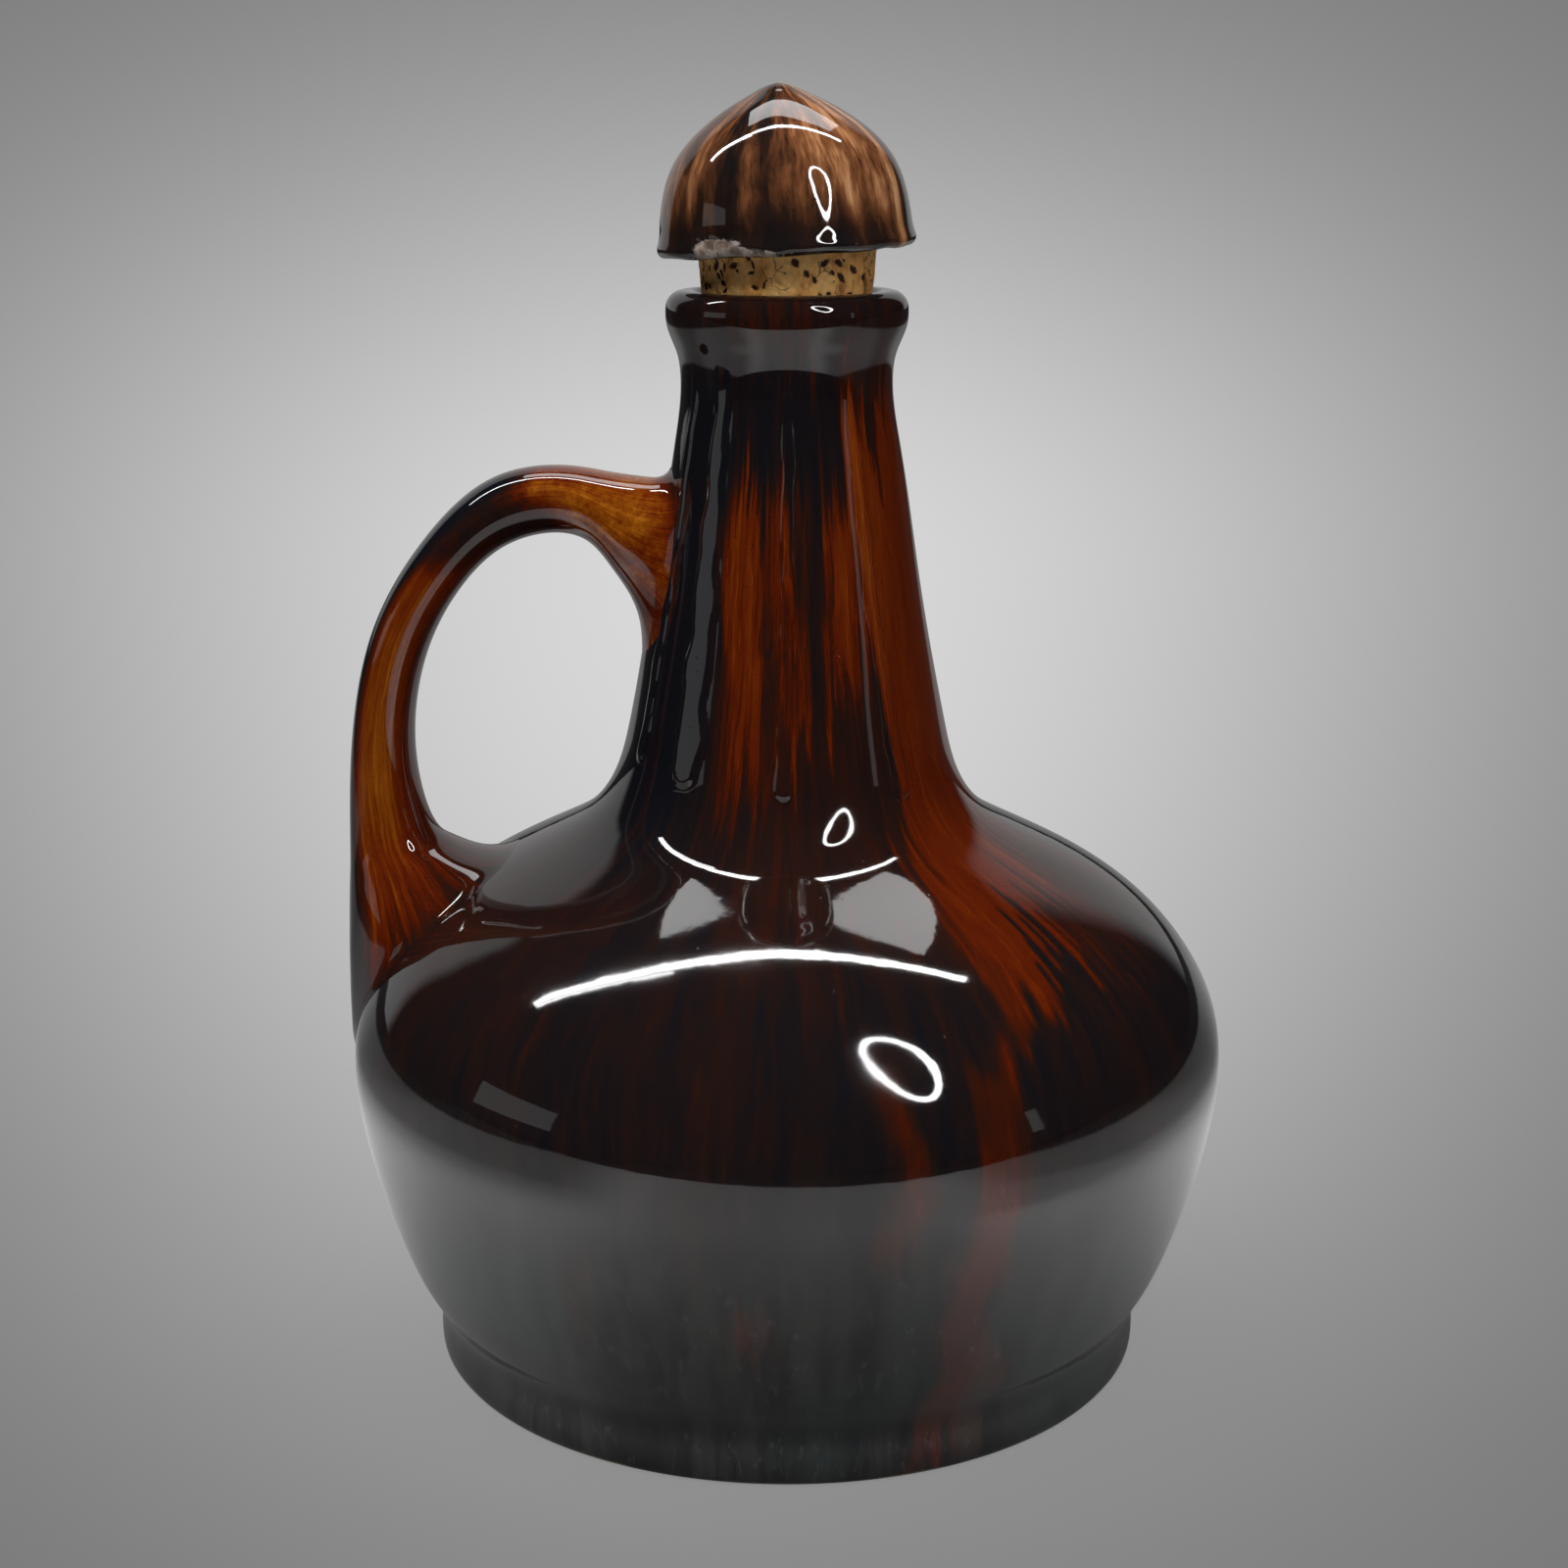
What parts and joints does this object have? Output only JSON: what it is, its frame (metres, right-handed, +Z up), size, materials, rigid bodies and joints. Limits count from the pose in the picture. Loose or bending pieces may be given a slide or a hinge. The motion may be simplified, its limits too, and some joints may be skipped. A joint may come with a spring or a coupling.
{
  "type": "musical jug",
  "caption": "Glazed stoneware jug with a strap handle, a corked pointed stopper, and a wind-up comb movement that plays when the jug is lifted",
  "frame": {"origin": "centre of the foot ring, on the surface that the jug stands on", "axes": "+Z up along the jug's axis; +X to the right as pictured, away from the handle, which is on -X; the camera looks along +Y"},
  "size_m": [0.1793, 0.178, 0.2549],
  "materials": {
    "glaze": "stoneware with a glossy near-black to rust-brown glaze that has run in upright streaks",
    "cap": "stoneware with a glossy brown glaze, copper streaks from the tip to the rim",
    "cork": "natural cork with dark pits",
    "board": "dark pressed fibre board, matte",
    "fibre": "pressed fibre plug, matte",
    "brass": "turned or stamped brass, satin",
    "steel": "plain steel, satin",
    "blued": "blued spring steel",
    "zinc": "bare grey zinc casting",
    "jewel": "polished synthetic ruby"
  },
  "bodies": {
    "jug": {"jug_body": "glaze", "handle": "glaze", "base_board": "board", "board_screw_1": "brass", "board_screw_2": "brass", "board_screw_3": "brass", "screw_anchor_1": "fibre", "screw_anchor_2": "fibre", "screw_anchor_3": "fibre", "movement_screw_1": "brass", "movement_screw_2": "brass", "movement_screw_3": "brass", "bedplate": "steel", "spring_housing": "zinc", "mainspring": "blued", "cylinder_post_inner": "zinc", "cylinder_post_outer": "zinc", "comb": "steel", "comb_base": "zinc", "comb_screw_1": "brass", "comb_screw_2": "brass", "governor_frame": "zinc", "jewel": "jewel", "plunger_guide": "brass", "lever_bracket": "zinc", "lever_pin": "steel", "bracket_screw": "brass"},
    "stopper": {"stopper_cap": "cap", "cork": "cork"},
    "winder": {"winding_arbor": "steel", "crown_wheel": "brass", "winding_key": "brass"},
    "cylinder": {"pinned_cylinder": "brass", "cylinder_arbor": "steel", "cylinder_pinion": "steel", "drive_gear": "brass"},
    "governor": {"governor_pinion": "steel", "worm_wheel": "brass"},
    "fan": {"worm_shaft": "steel", "air_brake": "brass"},
    "plunger": {"plunger": "steel", "plunger_clip": "blued", "plunger_spring": "steel"},
    "lever": {"stop_lever": "steel"}
  },
  "joints": [
    {"name": "stopper_lift", "type": "slide", "parent": "jug", "child": "stopper", "axis": [0, 0, 1], "range_m": [0, 0.06]},
    {"name": "cylinder_turn", "type": "hinge", "parent": "jug", "child": "cylinder", "pos_m": [0, 0, 0.03015], "axis": [1, 0, 0], "continuous": true},
    {"name": "key_turn", "type": "hinge", "parent": "jug", "child": "winder", "pos_m": [0, 0, 0.025], "axis": [0, 0, 1], "continuous": true},
    {"name": "governor_turn", "type": "hinge", "parent": "jug", "child": "governor", "pos_m": [0, 0.0112, 0.02449], "axis": [1, 0, 0], "continuous": true},
    {"name": "fan_turn", "type": "hinge", "parent": "jug", "child": "fan", "pos_m": [0.0254, 0.01685, 0.02449], "axis": [0, 0, 1], "continuous": true},
    {"name": "plunger_slide", "type": "slide", "parent": "jug", "child": "plunger", "axis": [0, 0, 1], "range_m": [-0.0022, 0], "stiffness_N_per_m": 60, "springref_m": -0.008, "deforming": ["plunger_spring"]},
    {"name": "stop_lever_tilt", "type": "hinge", "parent": "jug", "child": "lever", "pos_m": [0.0254, 0.02265, 0.0239], "axis": [1, 0, 0], "range_deg": [-16.2, 0]}
  ],
  "couplings": [
    {"joint": "key_turn", "follows": "cylinder_turn", "ratio": 0.25},
    {"joint": "governor_turn", "follows": "cylinder_turn", "ratio": -4},
    {"joint": "fan_turn", "follows": "cylinder_turn", "ratio": 80},
    {"joint": "stop_lever_tilt", "follows": "plunger_slide", "rad_per_m": 128.21}
  ]
}
